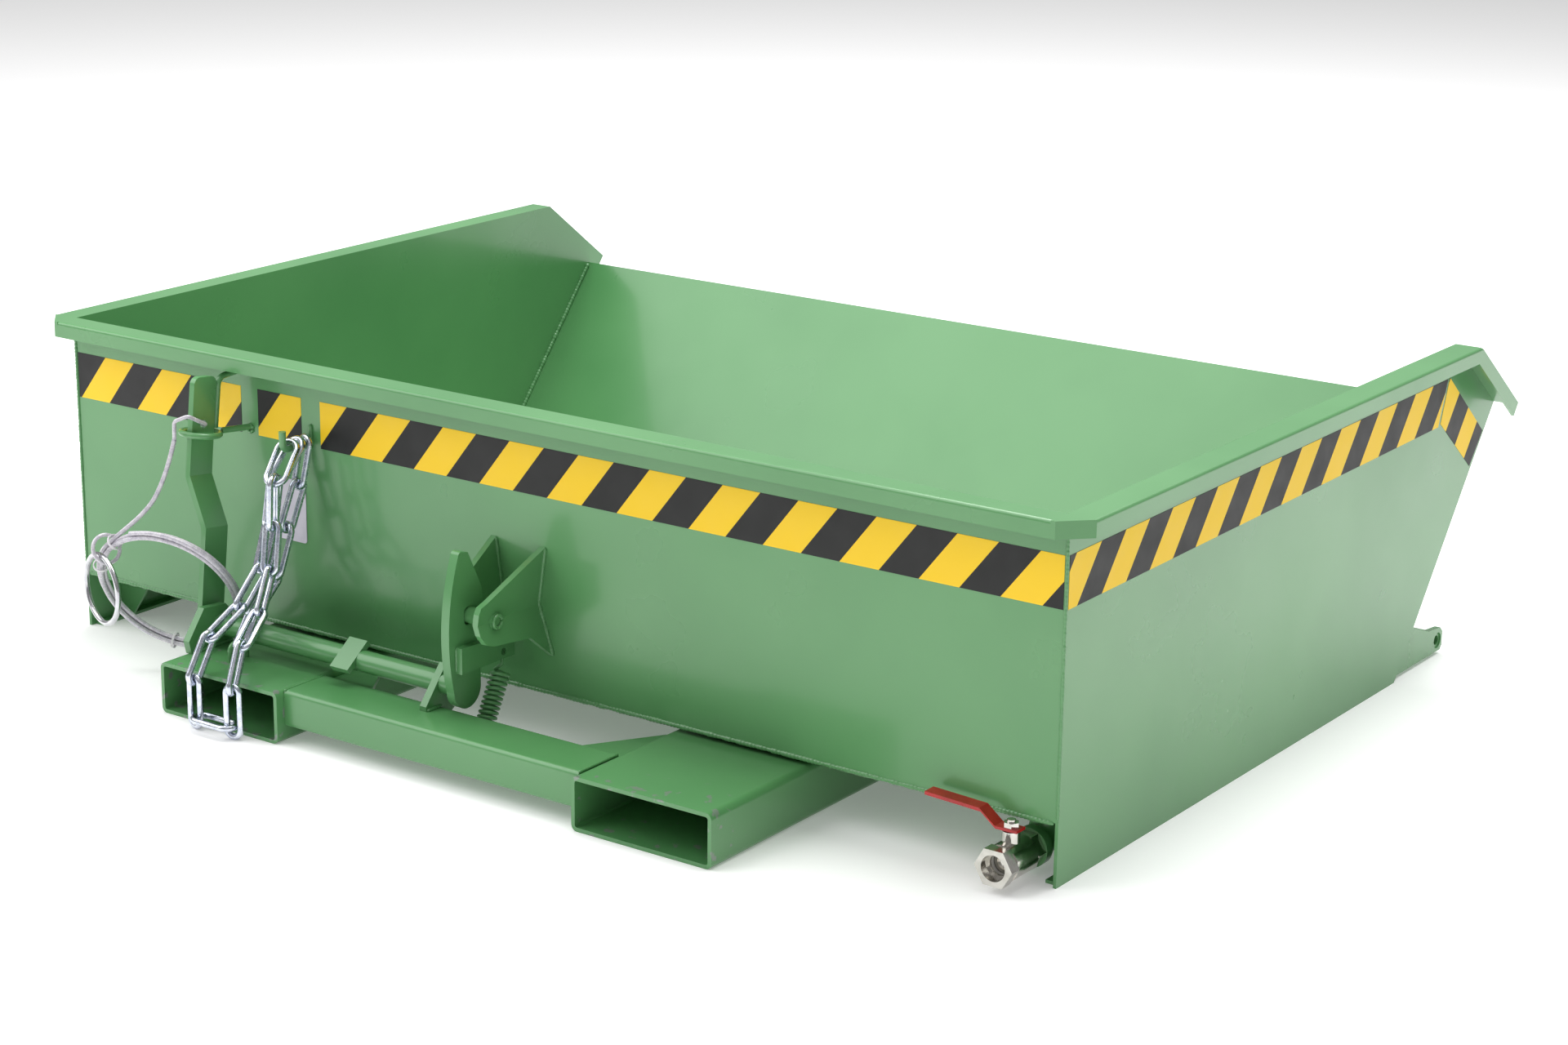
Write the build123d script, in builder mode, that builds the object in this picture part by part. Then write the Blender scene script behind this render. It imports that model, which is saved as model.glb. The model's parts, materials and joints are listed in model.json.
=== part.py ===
"""Low forklift tipping skip: a sheet steel tub hinged at its front edge to a frame of two fork
pockets, held down by a spring-loaded hook latch with a hand lever and a pull rope, with a safety
chain and a drain valve.

X runs along the tub's width, +Y is the tipping direction, +Z is up. The pieces are drawn from the
rear wall's outer face and saved with the origin on the ground, in the middle of the footprint.
"""
from build123d import *
import os
from math import atan2, cos, degrees, hypot, pi, radians, sin, sqrt, tan

os.makedirs("parts", exist_ok=True)

# ---------------------------------------------------------------- driving dimensions (mm)
# tub
WIDTH = 1500.0            # over the outer faces of the side walls
HEIGHT = 422.0            # ground to the top of the rim
SHEET = 4.0               # tub sheet thickness
FLOOR_Z = 75.0            # underside of the floor
FLOOR_DEPTH = 872.0       # rear wall to the bend of the front wall
LIP_Y, LIP_Z = 1071.0, 319.0          # upper edge of the sloping front wall
SKIRT_DEPTH = 846.0       # rear wall to the front end of the side walls, on the ground
SIDE_END_Y, SIDE_END_Z = 1106.0, 324.0  # foremost corner of a side wall
PEAK_Y = 975.0            # where the side rim starts to fall towards the front
RIM_OUT = 33.0            # rim overhang
RIM_DROP = 20.0           # height of the rim's folded-down face
RIM_CHAMFER = 31.5        # 45 degree cut of the rear rim corners
SKIRT_FLANGE = 18.0       # inward fold at the foot of the side walls
BEND_R = 5.0              # outside radius of a folded edge

# frame
POCKET_W, POCKET_H, POCKET_WALL = 196.0, 66.0, 5.0
POCKET_X = 325.0          # middle of each fork pocket from the centre plane
POCKET_REAR, POCKET_FRONT = -184.0, 940.0
POCKET_R = 8.0
BEAM_REAR, BEAM_FRONT = -171.0, -96.0
BEAM_UNDER = 20.0
BEAM_WALL = 4.0
GUSSET_X, GUSSET_Y, GUSSET_T = 68.0, 100.0, 6.0

# tilt hinge
HINGE_Y, HINGE_Z = 984.0, 20.0
HINGE_TUBE_D, HINGE_TUBE_BORE = 21.3, 13.0
HINGE_FIT = 0.05          # radial running clearance
LUG_R, LUG_T = 17.0, 12.0
LUG_SPREAD = 75.0         # lugs stand this far to each side of a pocket's middle
EAR_T = 8.0

# latch
SHAFT_Y, SHAFT_Z, SHAFT_D = -90.0, 93.0, 26.9
SHAFT_FIT = 0.05
SHAFT_WALL = 4.0
BRACKET_T = 10.0
BRACKET_LEFT_X = -416.0   # middle of the left shaft bracket
BRACKET_RIGHT_X = -45.0
LATCH_T = 12.0
LATCH_X = -11.0           # middle of the latch plate
PIN_D = 20.0
PIN_Y, PIN_Z = -83.0, 183.0
PIN_CLEAR = 1.3           # between the pin and the latch throat
ARM_T, ARM_H = 10.0, 32.0
LEVER_W, LEVER_T = 38.5, 8.0
LEVER_LEAN = 6.9          # degrees towards the tub
LEVER_TOP = 306.0         # length above the shaft axis
LEVER_JOG = 32.0          # sideways step of the lever
JOG_LOW, JOG_HIGH = 119.0, 180.0
RING_BAR = 8.0            # round bar of the lever ring and its guide
RING_GAP = 0.15
RING_HEIGHT = 234.0       # lever ring above the shaft axis, along the lever

# drain
DRAIN_X, DRAIN_Z = 703.0, 30.0
VALVE_MOUTH, VALVE_END = -55.0, 20.0
DRAIN_BORE = 25.0
MOUTH_BORE = 30.3         # thread core of a one-inch pipe thread
BALL_D = 36.0

# chain and rope
LINK_D, LINK_LENGTH, LINK_W = 8.0, 64.0, 26.0    # wire, centreline length, overall width
FOOT_W = 32.0              # overall width of the link at the chain's foot
ROPE_D = 6.0

GAP = 0.4                 # least gap between pieces of different bodies

CHAIN_REACH = 202.0       # the chain's foot hangs this far behind the rear wall
MIDDLE_Y = (SIDE_END_Y - CHAIN_REACH - FOOT_W / 2) / 2    # rear wall to the footprint's middle
half = WIDTH / 2
inner = half - SHEET


def save(piece, name):
    """Label a finished piece and write its STEP file, the footprint's middle put on the origin."""
    piece = piece.moved(Location((0, -MIDDLE_Y, 0)))
    piece.label = name
    export_step(piece, f"parts/{name}.step")


def rod_along_x(x_low, x_high, y, z, diameter):
    """A round bar parallel to X."""
    return Pos((x_low + x_high) / 2, y, z) * Rot(0, 90, 0) * Cylinder(
        diameter / 2, x_high - x_low, mode=Mode.PRIVATE
    )


def yz(x):
    """The plane at x whose local axes are Y and Z."""
    return Plane(origin=(x, 0, 0), x_dir=(0, 1, 0), z_dir=(1, 0, 0))


def cord_radii(points, longest=1e9):
    """The largest tangent arcs that the runs of a route allow, one for each corner."""
    radii = []
    for a, b, c in zip(points, points[1:], points[2:]):
        before, after = Vector(*b) - Vector(*a), Vector(*c) - Vector(*b)
        turn = radians(before.get_angle(after))
        radii.append(min(longest, 0.45 * min(before.length, after.length) / tan(turn / 2)))
    return radii


# ---------------------------------------------------------------- tub: sheet work
front_slope = atan2(LIP_Z - FLOOR_Z, LIP_Y - FLOOR_DEPTH)

with BuildPart() as rear_wall:
    with BuildSketch(yz(-inner)) as wall_section:
        Polygon(
            (0, FLOOR_Z), (SHEET, FLOOR_Z), (SHEET, HEIGHT), (-RIM_OUT, HEIGHT),
            (-RIM_OUT, HEIGHT - RIM_DROP), (-RIM_OUT + SHEET, HEIGHT - RIM_DROP),
            (-RIM_OUT + SHEET, HEIGHT - SHEET), (0, HEIGHT - SHEET),
            align=None,
        )
    extrude(amount=2 * inner)
    folds = rear_wall.edges().filter_by(Axis.X).group_by(Axis.Z)[-1]
    fillet(folds, radius=BEND_R - 1)
save(rear_wall.part, "rear_wall")

with BuildPart() as floor_and_front:
    across = SHEET * tan(front_slope / 2)
    dy, dz = cos(front_slope), sin(front_slope)
    with BuildSketch(yz(-inner)):
        Polygon(
            (SHEET, FLOOR_Z), (FLOOR_DEPTH + across, FLOOR_Z),
            (LIP_Y + SHEET * dz, LIP_Z - SHEET * dy), (LIP_Y, LIP_Z),
            (FLOOR_DEPTH, FLOOR_Z + SHEET), (SHEET, FLOOR_Z + SHEET),
            align=None,
        )
    extrude(amount=2 * inner)
    bend = floor_and_front.edges().filter_by(Axis.X).sort_by_distance((0, FLOOR_DEPTH + across, FLOOR_Z))[0]
    fillet(bend, radius=BEND_R)
    DRAIN_Y = 57.0
    with Locations((DRAIN_X, DRAIN_Y, FLOOR_Z)):
        Cylinder(DRAIN_BORE / 2, 4 * SHEET, mode=Mode.SUBTRACT)
save(floor_and_front.part, "floor_and_front")

rim_fall = atan2(HEIGHT - SIDE_END_Z, SIDE_END_Y - PEAK_Y)


def rim_band(depth):
    """Corners of a strip under the side rim's line, level to the peak and then falling."""
    start = RIM_CHAMFER - RIM_OUT
    shift = depth * tan(rim_fall / 2)
    return [
        (start, HEIGHT), (PEAK_Y, HEIGHT), (SIDE_END_Y, SIDE_END_Z),
        (SIDE_END_Y - depth * sin(rim_fall), SIDE_END_Z - depth * cos(rim_fall)),
        (PEAK_Y - shift, HEIGHT - depth), (start, HEIGHT - depth),
    ]


for side, name in ((1, "right"), (-1, "left")):
    with BuildPart() as side_wall:
        with BuildSketch(yz(inner)) as plate:
            Polygon(
                (0, 0), (SKIRT_DEPTH, 0), (SIDE_END_Y, SIDE_END_Z), (PEAK_Y, HEIGHT),
                (0, HEIGHT),
                align=None,
            )
        extrude(amount=SHEET)
        with BuildSketch(yz(half)):
            Polygon(*rim_band(SHEET), align=None)
        extrude(amount=RIM_OUT)
        with BuildSketch(yz(half + RIM_OUT - SHEET)):
            Polygon(*rim_band(RIM_DROP), align=None)
        extrude(amount=SHEET)
        with Locations((inner, SKIRT_DEPTH / 2, SHEET / 2)):
            Box(SKIRT_FLANGE - SHEET, SKIRT_DEPTH - 16, SHEET, align=(Align.MAX, Align.CENTER, Align.CENTER))
        outer_fold = side_wall.edges().filter_by(Axis.Y).sort_by(Axis.X)[-2:].sort_by(Axis.Z)[-1]
        fillet(outer_fold, radius=BEND_R - 1)
        if side < 0:
            mirror(about=Plane.YZ, mode=Mode.REPLACE)
    save(side_wall.part, f"side_wall_{name}")

    with BuildPart() as rim_corner:
        cut = half + RIM_OUT - RIM_CHAMFER
        with BuildSketch(Plane.XY.offset(HEIGHT - SHEET)):
            Polygon(
                (cut, -RIM_OUT), (half + RIM_OUT, -RIM_OUT + RIM_CHAMFER),
                (half, -RIM_OUT + RIM_CHAMFER), (half, 0), (inner, 0), (inner, -RIM_OUT),
                align=None,
            )
        extrude(amount=SHEET)
        slant = SHEET * sqrt(2)
        with BuildSketch(Plane.XY.offset(HEIGHT - RIM_DROP)):
            Polygon(
                (cut, -RIM_OUT), (half + RIM_OUT, -RIM_OUT + RIM_CHAMFER),
                (half + RIM_OUT - slant, -RIM_OUT + RIM_CHAMFER), (cut, -RIM_OUT + slant),
                align=None,
            )
        extrude(amount=RIM_DROP)
        with Locations(((inner + cut) / 2, -RIM_OUT + SHEET / 2, HEIGHT - RIM_DROP / 2)):
            Box(cut - inner, SHEET, RIM_DROP)
        if side < 0:
            mirror(about=Plane.YZ, mode=Mode.REPLACE)
    save(rim_corner.part, f"rim_corner_{name}")

    # ear that carries the hinge tube in front of the skirt
    with BuildPart() as hinge_ear:
        with BuildSketch(yz(inner - EAR_T)):
            Polygon(
                (HINGE_Y - 190, 5), (HINGE_Y + 10, 5), (HINGE_Y + 15, 11), (HINGE_Y + 15, 29),
                (HINGE_Y + 8, 36), (HINGE_Y - 30, 40), (HINGE_Y - 110, 70), (HINGE_Y - 190, 70),
                align=None,
            )
        extrude(amount=EAR_T)
        add(rod_along_x(half - 50, half + 10, HINGE_Y, HINGE_Z, HINGE_TUBE_D), mode=Mode.SUBTRACT)
        if side < 0:
            mirror(about=Plane.YZ, mode=Mode.REPLACE)
    save(hinge_ear.part, f"hinge_ear_{name}")

# stiffening plates between floor and skirt
with BuildPart() as skirt_stiffeners:
    for stiffener_side in (1, -1):
        stiffener_y = 60.0 if stiffener_side < 0 else 95.0
        with BuildSketch(Plane.XZ.offset(-stiffener_y)):
            Polygon(
                (stiffener_side * inner, SHEET), (stiffener_side * inner, FLOOR_Z),
                (stiffener_side * (inner - 60), FLOOR_Z), (stiffener_side * (inner - 60), FLOOR_Z - 14),
                (stiffener_side * (inner - 20), SHEET),
                align=None,
            )
        extrude(amount=SHEET)
save(skirt_stiffeners.part, "skirt_stiffeners")

with BuildPart() as hinge_tube:
    with BuildSketch(yz(2 - inner)):
        with Locations((HINGE_Y, HINGE_Z)):
            Circle(HINGE_TUBE_D / 2)
            Circle(HINGE_TUBE_BORE / 2, mode=Mode.SUBTRACT)
    extrude(amount=2 * (inner - 2))
save(hinge_tube.part, "hinge_tube")

# ---------------------------------------------------------------- frame
for side, name in ((1, "right"), (-1, "left")):
    with BuildPart() as fork_pocket:
        with BuildSketch(Plane.XZ.offset(-POCKET_FRONT)):
            with Locations((side * POCKET_X, POCKET_H / 2)):
                RectangleRounded(POCKET_W, POCKET_H, POCKET_R)
                RectangleRounded(
                    POCKET_W - 2 * POCKET_WALL, POCKET_H - 2 * POCKET_WALL, POCKET_R - POCKET_WALL,
                    mode=Mode.SUBTRACT,
                )
        extrude(amount=POCKET_FRONT - POCKET_REAR)
    save(fork_pocket.part, f"fork_pocket_{name}")

    with BuildPart() as corner_gusset:
        corner_x = POCKET_X - POCKET_W / 2
        with BuildSketch(Plane.XY.offset(POCKET_H - POCKET_R - GUSSET_T)):
            Polygon(
                (corner_x, BEAM_FRONT), (corner_x, BEAM_FRONT + GUSSET_Y),
                (corner_x - 8, BEAM_FRONT + GUSSET_Y), (corner_x - GUSSET_X, BEAM_FRONT + 6),
                (corner_x - GUSSET_X, BEAM_FRONT),
                align=None,
            )
        extrude(amount=GUSSET_T)
        if side < 0:
            mirror(about=Plane.YZ, mode=Mode.REPLACE)
    save(corner_gusset.part, f"corner_gusset_{name}")

    # two hinge lugs at the front of each pocket
    with BuildPart() as hinge_lugs:
        for lug_x in (side * POCKET_X - LUG_SPREAD, side * POCKET_X + LUG_SPREAD):
            with BuildSketch(yz(lug_x - LUG_T / 2)):
                Polygon(
                    (POCKET_FRONT, HINGE_Z - LUG_R), (HINGE_Y, HINGE_Z - LUG_R),
                    (HINGE_Y, HINGE_Z + LUG_R), (POCKET_FRONT, POCKET_H - 10),
                    align=None,
                )
                with Locations((HINGE_Y, HINGE_Z)):
                    Circle(LUG_R)
                    Circle(HINGE_TUBE_D / 2 + HINGE_FIT, mode=Mode.SUBTRACT)
            extrude(amount=LUG_T)
    save(hinge_lugs.part, f"hinge_lugs_{name}")

pocket_inner = POCKET_X - POCKET_W / 2


for beam, y_low, y_high, z_low, z_high in (
    ("rear", BEAM_REAR, BEAM_FRONT, BEAM_UNDER, POCKET_H),
    ("front", POCKET_FRONT - 130, POCKET_FRONT - 70, 8, 58),
):
    with BuildPart() as cross_beam:
        with BuildSketch(yz(-pocket_inner)):
            with Locations(((y_low + y_high) / 2, (z_low + z_high) / 2)):
                RectangleRounded(y_high - y_low, z_high - z_low, 6)
                RectangleRounded(
                    y_high - y_low - 2 * BEAM_WALL, z_high - z_low - 2 * BEAM_WALL, 2, mode=Mode.SUBTRACT,
                )
        extrude(amount=2 * pocket_inner)
    save(cross_beam.part, f"{beam}_cross_beam")

# ---------------------------------------------------------------- latch shaft and its brackets
with BuildPart() as shaft_bracket_left:
    with BuildSketch(yz(BRACKET_LEFT_X - BRACKET_T / 2)):
        Polygon(
            (SHAFT_Y - 52, POCKET_H), (SHAFT_Y - 56, POCKET_H + 17), (SHAFT_Y - 28, SHAFT_Z + 27),
            (SHAFT_Y + 10, SHAFT_Z + 24), (SHAFT_Y + 20, SHAFT_Z + 12), (SHAFT_Y + 20, POCKET_H),
            align=None,
        )
        with Locations((SHAFT_Y, SHAFT_Z)):
            Circle(SHAFT_D / 2 + SHAFT_FIT, mode=Mode.SUBTRACT)
    extrude(amount=BRACKET_T)
save(shaft_bracket_left.part, "shaft_bracket_left")

with BuildPart() as shaft_bracket_right:
    with BuildSketch(yz(BRACKET_RIGHT_X - BRACKET_T / 2)):
        Polygon(
            (SHAFT_Y - 35, POCKET_H), (SHAFT_Y - 35, POCKET_H + 6), (SHAFT_Y + 2, SHAFT_Z + 24),
            (SHAFT_Y + 22, SHAFT_Z + 18), (SHAFT_Y + 22, POCKET_H - 4), (BEAM_FRONT, POCKET_H - 20),
            (BEAM_FRONT, POCKET_H),
            align=None,
        )
        with Locations((SHAFT_Y, SHAFT_Z)):
            Circle(SHAFT_D / 2 + SHAFT_FIT, mode=Mode.SUBTRACT)
    extrude(amount=BRACKET_T)
save(shaft_bracket_right.part, "shaft_bracket_right")

lever_low_x = BRACKET_LEFT_X - BRACKET_T / 2 - 5 - LEVER_T / 2   # middle of the lever's lower part
latch_left = LATCH_X - LATCH_T / 2
latch_right = LATCH_X + LATCH_T / 2

with BuildPart() as latch_shaft:
    shaft_start = lever_low_x + LEVER_T / 2
    with BuildSketch(yz(shaft_start)):
        with Locations((SHAFT_Y, SHAFT_Z)):
            Circle(SHAFT_D / 2)
            Circle(SHAFT_D / 2 - SHAFT_WALL, mode=Mode.SUBTRACT)
    extrude(amount=latch_left - shaft_start)
save(latch_shaft.part, "latch_shaft")

pin_reach = hypot(PIN_Y - SHAFT_Y, PIN_Z - SHAFT_Z)
throat_out = pin_reach + PIN_D / 2 + PIN_CLEAR
throat_in = pin_reach - PIN_D / 2 - PIN_CLEAR


def on_arc(radius, offset):
    """The point over the shaft at this radius from its axis, offset along Y."""
    return (SHAFT_Y + offset, SHAFT_Z + sqrt(radius ** 2 - offset ** 2))


with BuildPart() as latch_plate:
    throat_end = PIN_Y - SHAFT_Y - PIN_D / 2 - PIN_CLEAR
    nose = 30.0
    foot = 24.0
    with BuildSketch(yz(latch_left)):
        with BuildLine():
            rear = ThreePointArc(
                (SHAFT_Y - foot, SHAFT_Z), (SHAFT_Y - 31.5, SHAFT_Z + 80), (SHAFT_Y - 11, SHAFT_Z + 172)
            )
            top = Line(rear @ 1, (SHAFT_Y + 4, SHAFT_Z + 168))
            ramp = Line(top @ 1, (SHAFT_Y + nose - 2, SHAFT_Z + 120))
            tip = Line(ramp @ 1, on_arc(throat_out, nose))
            over = ThreePointArc(tip @ 1, on_arc(throat_out, (nose + throat_end) / 2), on_arc(throat_out, throat_end))
            back = Line(over @ 1, on_arc(throat_in, throat_end))
            under = ThreePointArc(back @ 1, on_arc(throat_in, (15 + throat_end) / 2), on_arc(throat_in, 15))
            chest = Line(under @ 1, (SHAFT_Y + foot, SHAFT_Z + 16))
            heel = Line(chest @ 1, (SHAFT_Y + foot, SHAFT_Z))
            ThreePointArc(heel @ 1, (SHAFT_Y, SHAFT_Z - foot), rear @ 0)
        make_face()
    extrude(amount=LATCH_T)
    throat_corners = latch_plate.edges().filter_by(Axis.X).sort_by_distance((LATCH_X, SHAFT_Y + throat_end, PIN_Z))[:2]
    fillet(throat_corners, radius=7)
    top_edges = latch_plate.edges().filter_by(Axis.X).group_by(Axis.Z)[-1]
    fillet(top_edges, radius=5)
save(latch_plate.part, "latch_plate")

arm_low = SHAFT_Z + 25.0
arm_end = SHAFT_Y + 75.0
with BuildPart() as spring_arm:
    with BuildSketch(yz(latch_right)):
        Polygon(
            (SHAFT_Y - 21, arm_low), (SHAFT_Y - 21, arm_low + ARM_H), (arm_end - 8, arm_low + ARM_H - 4),
            (arm_end, arm_low + ARM_H - 12), (arm_end, arm_low),
            align=None,
        )
        with Locations((arm_end - 20, arm_low + 9)):
            Circle(4.5, mode=Mode.SUBTRACT)
    extrude(amount=ARM_T)
save(spring_arm.part, "spring_arm")

# the hand lever is drawn upright over the shaft axis and then leant over
lever_high_x = lever_low_x - LEVER_JOG
rope_hole = RING_HEIGHT + 12.0
upright = Plane(origin=(0, SHAFT_Y, SHAFT_Z))
lean = Location((0, SHAFT_Y, SHAFT_Z)) * Location((0, 0, 0), (-LEVER_LEAN, 0, 0)) * Location((0, -SHAFT_Y, -SHAFT_Z))

with BuildPart() as hand_lever:
    t = LEVER_T / 2
    with BuildSketch(Plane.XZ.offset(-SHAFT_Y - LEVER_W / 2)):
        Polygon(
            (lever_low_x - t, SHAFT_Z - 20), (lever_low_x - t, SHAFT_Z + JOG_LOW),
            (lever_high_x - t, SHAFT_Z + JOG_HIGH), (lever_high_x - t, SHAFT_Z + LEVER_TOP),
            (lever_high_x + t, SHAFT_Z + LEVER_TOP), (lever_high_x + t, SHAFT_Z + JOG_HIGH + 2),
            (lever_low_x + t, SHAFT_Z + JOG_LOW + 2), (lever_low_x + t, SHAFT_Z - 20),
            align=None,
        )
    extrude(amount=LEVER_W)
    lever_ends = hand_lever.edges().filter_by(Axis.X).group_by(Axis.Z)
    fillet(lever_ends[-1], radius=10)
    fillet(hand_lever.edges().filter_by(Axis.X).group_by(Axis.Z)[0], radius=12)
    with Locations(Location((lever_high_x, SHAFT_Y, SHAFT_Z + rope_hole), (0, 90, 0))):
        Cylinder(5.5, 4 * LEVER_T, mode=Mode.SUBTRACT)
save(hand_lever.part.moved(lean), "hand_lever")

with BuildPart() as lever_ring:
    ring_r = hypot(LEVER_W / 2, LEVER_T / 2) + RING_GAP + RING_BAR / 2
    with Locations((lever_high_x, SHAFT_Y, SHAFT_Z + RING_HEIGHT)):
        Torus(ring_r, RING_BAR / 2)
save(lever_ring.part.moved(lean), "lever_ring")

with BuildPart() as stop_arm:
    arm_x = -186.0
    arm_w = 29.0
    stop_plane = Plane(origin=(arm_x - arm_w / 2, SHAFT_Y, SHAFT_Z), x_dir=(0, -0.8, -0.6), z_dir=(1, 0, 0))
    with BuildSketch(stop_plane):
        with Locations((2, -9.5)):
            Rectangle(46, 8)
    extrude(amount=arm_w)
    add(rod_along_x(arm_x - arm_w, arm_x + arm_w, SHAFT_Y, SHAFT_Z, SHAFT_D), mode=Mode.SUBTRACT)
save(stop_arm.part, "stop_arm")

# ---------------------------------------------------------------- cheeks, pin and lever guide on the tub
CHEEK_T = 8.0
pin_ends = {1: 36.0, -1: -34.0}
for side, name, reach in ((1, "right", 112.0), (-1, "left", 97.0)):
    with BuildPart() as latch_cheek:
        with BuildSketch(Plane.XZ):
            Polygon(
                (42, 255), (31, PIN_Z), (53, 121), (53 - CHEEK_T, 121), (31 - CHEEK_T, PIN_Z),
                (42 - CHEEK_T, 255),
                align=None,
            )
        extrude(amount=reach)
        with BuildSketch(yz(0)):
            Polygon(
                (0, 255), (-reach + 14, 209), (-reach + 3, 205), (-reach, 197), (-reach, 171),
                (-reach + 6, 160), (-reach + 18, 156), (-30, 150), (0, 121),
                align=None,
            )
        extrude(amount=90, mode=Mode.INTERSECT)
        if side < 0:
            mirror(about=Plane.YZ, mode=Mode.REPLACE)
        add(rod_along_x(-90, 90, PIN_Y, PIN_Z, PIN_D), mode=Mode.SUBTRACT)
    save(latch_cheek.part, f"latch_cheek_{name}")

latch_pin = rod_along_x(pin_ends[-1], pin_ends[1], PIN_Y, PIN_Z, PIN_D)
save(latch_pin, "latch_pin")

ring_y = SHAFT_Y + RING_HEIGHT * sin(radians(LEVER_LEAN))
ring_z = SHAFT_Z + RING_HEIGHT * cos(radians(LEVER_LEAN))
guide_x = lever_high_x + 26
toward_wall = Vector(guide_x - lever_high_x, -ring_y, 0).normalized()
guide_tip = Vector(lever_high_x, ring_y, ring_z) + toward_wall * (ring_r + RING_BAR / 2 + GAP)
with BuildPart() as lever_guide:
    with BuildSketch(Plane(origin=tuple(guide_tip), z_dir=tuple(toward_wall))):
        Circle(RING_BAR / 2)
    extrude(amount=(Vector(guide_x, 0, ring_z) - guide_tip).length)
    with BuildLine():
        rod_route = FilletPolyline(
            (lever_high_x + 1, ring_y + 24, ring_z + 2.6), (lever_high_x + 2, ring_y + 32, 391),
            (lever_high_x + 4, 0, 394), radius=12,
        )
    with BuildSketch(Plane(origin=rod_route @ 0, z_dir=rod_route % 0)):
        Circle(RING_BAR / 2)
    sweep()
    with BuildSketch(Plane.XZ):
        with Locations((lever_high_x, 360)):
            Rectangle(120, 160)
    extrude(amount=-20, mode=Mode.SUBTRACT)
save(lever_guide.part, "lever_guide")

# ---------------------------------------------------------------- chain hook, plate and warning tape
HOOK_X, HOOK_Z, HOOK_D = -332.0, 322.0, 9.0
with BuildPart() as chain_hook:
    with BuildLine():
        hook_route = FilletPolyline((HOOK_X, 0, HOOK_Z), (HOOK_X, -51, HOOK_Z), (HOOK_X, -51, HOOK_Z + 24), radius=9)
    with BuildSketch(Plane.XZ):
        with Locations((HOOK_X, HOOK_Z)):
            Circle(HOOK_D / 2)
    sweep()
save(chain_hook.part, "chain_hook")

with BuildPart() as type_plate:
    with BuildSketch(Plane.XZ):
        with Locations((-376.5, 228)):
            RectangleRounded(65, 80, 4)
    extrude(amount=1)
save(type_plate.part, "type_plate")

TAPE_W, TAPE_T, TAPE_Z = 60.0, 0.4, 346.0
with BuildPart() as tape_rear:
    with BuildSketch(Plane.XZ):
        for tape_start, tape_stop in ((-inner, -451), (-422, -348), (-316, inner)):
            with Locations(((tape_start + tape_stop) / 2, TAPE_Z)):
                Rectangle(tape_stop - tape_start, TAPE_W)
    extrude(amount=TAPE_T)
save(tape_rear.part, "tape_rear")

for side, name in ((1, "right"), (-1, "left")):
    with BuildPart() as tape_side:
        with BuildSketch(yz(side * half)):
            Polygon((3, 316), (928, 322), (950, 381), (3, 376), align=None)
            Polygon((935, 325), (1037, 247), (1072, 288), (955, 382), align=None)
        extrude(amount=side * TAPE_T)
    save(tape_side.part, f"tape_{name}")

runner_low = POCKET_H + GAP
with BuildPart() as floor_runners:
    with Locations((-POCKET_X, 480, (runner_low + FLOOR_Z) / 2), (POCKET_X, 480, (runner_low + FLOOR_Z) / 2)):
        Box(40, 800, FLOOR_Z - runner_low)
save(floor_runners.part, "floor_runners")

# ---------------------------------------------------------------- drain elbow and ball valve
STEM_Y, STEM_D = -19.0, 10.0
pipe_r = 19.0
with BuildPart() as drain_elbow:
    with BuildLine():
        bend_route = FilletPolyline(
            (DRAIN_X, VALVE_END, DRAIN_Z), (DRAIN_X, DRAIN_Y, DRAIN_Z), (DRAIN_X, DRAIN_Y, FLOOR_Z), radius=23,
        )
    with BuildSketch(Plane.XZ.offset(-VALVE_END)):
        with Locations((DRAIN_X, DRAIN_Z)):
            Circle(pipe_r)
            Circle(DRAIN_BORE / 2, mode=Mode.SUBTRACT)
    sweep()
    with BuildSketch(Plane.XZ.offset(-VALVE_END)):
        with Locations((DRAIN_X, DRAIN_Z)):
            Circle(pipe_r + 4)
            Circle(pipe_r, mode=Mode.SUBTRACT)
    extrude(amount=-12)
save(drain_elbow.part, "drain_elbow")

with BuildPart() as valve_body:
    with BuildSketch(Plane.XZ.offset(-VALVE_END)):
        with Locations((DRAIN_X, DRAIN_Z)):
            RegularPolygon(22.5, 6)
    extrude(amount=16)
    with BuildSketch(Plane.XZ.offset(-VALVE_END + 16)):
        with Locations((DRAIN_X, DRAIN_Z)):
            Circle(22)
    extrude(amount=43)
    with BuildSketch(Plane.XZ.offset(-VALVE_END + 59)):
        with Locations((DRAIN_X, DRAIN_Z)):
            RegularPolygon(24, 6)
    extrude(amount=VALVE_END - 59 - VALVE_MOUTH)
    with BuildSketch(Plane.XY.offset(DRAIN_Z)):
        with Locations((DRAIN_X, STEM_Y)):
            Circle(10)
    extrude(amount=33)
    with BuildSketch(Plane.XZ.offset(-VALVE_END)):
        with Locations((DRAIN_X, DRAIN_Z)):
            Circle(DRAIN_BORE / 2)
    extrude(amount=VALVE_END - VALVE_MOUTH, mode=Mode.SUBTRACT)
    with BuildSketch(Plane.XZ.offset(-VALVE_MOUTH - 14)):
        with Locations((DRAIN_X, DRAIN_Z)):
            Circle(MOUTH_BORE / 2)
    extrude(amount=14, mode=Mode.SUBTRACT)
    with BuildSketch(Plane.XZ.offset(-STEM_Y - 19)):
        with Locations((DRAIN_X, DRAIN_Z)):
            Circle(BALL_D / 2 + 1)
    extrude(amount=38, mode=Mode.SUBTRACT)
    with Locations((DRAIN_X, STEM_Y, DRAIN_Z + 25)):
        Cylinder(STEM_D / 2 + 0.05, 40, mode=Mode.SUBTRACT)
save(valve_body.part, "valve_body")

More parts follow.
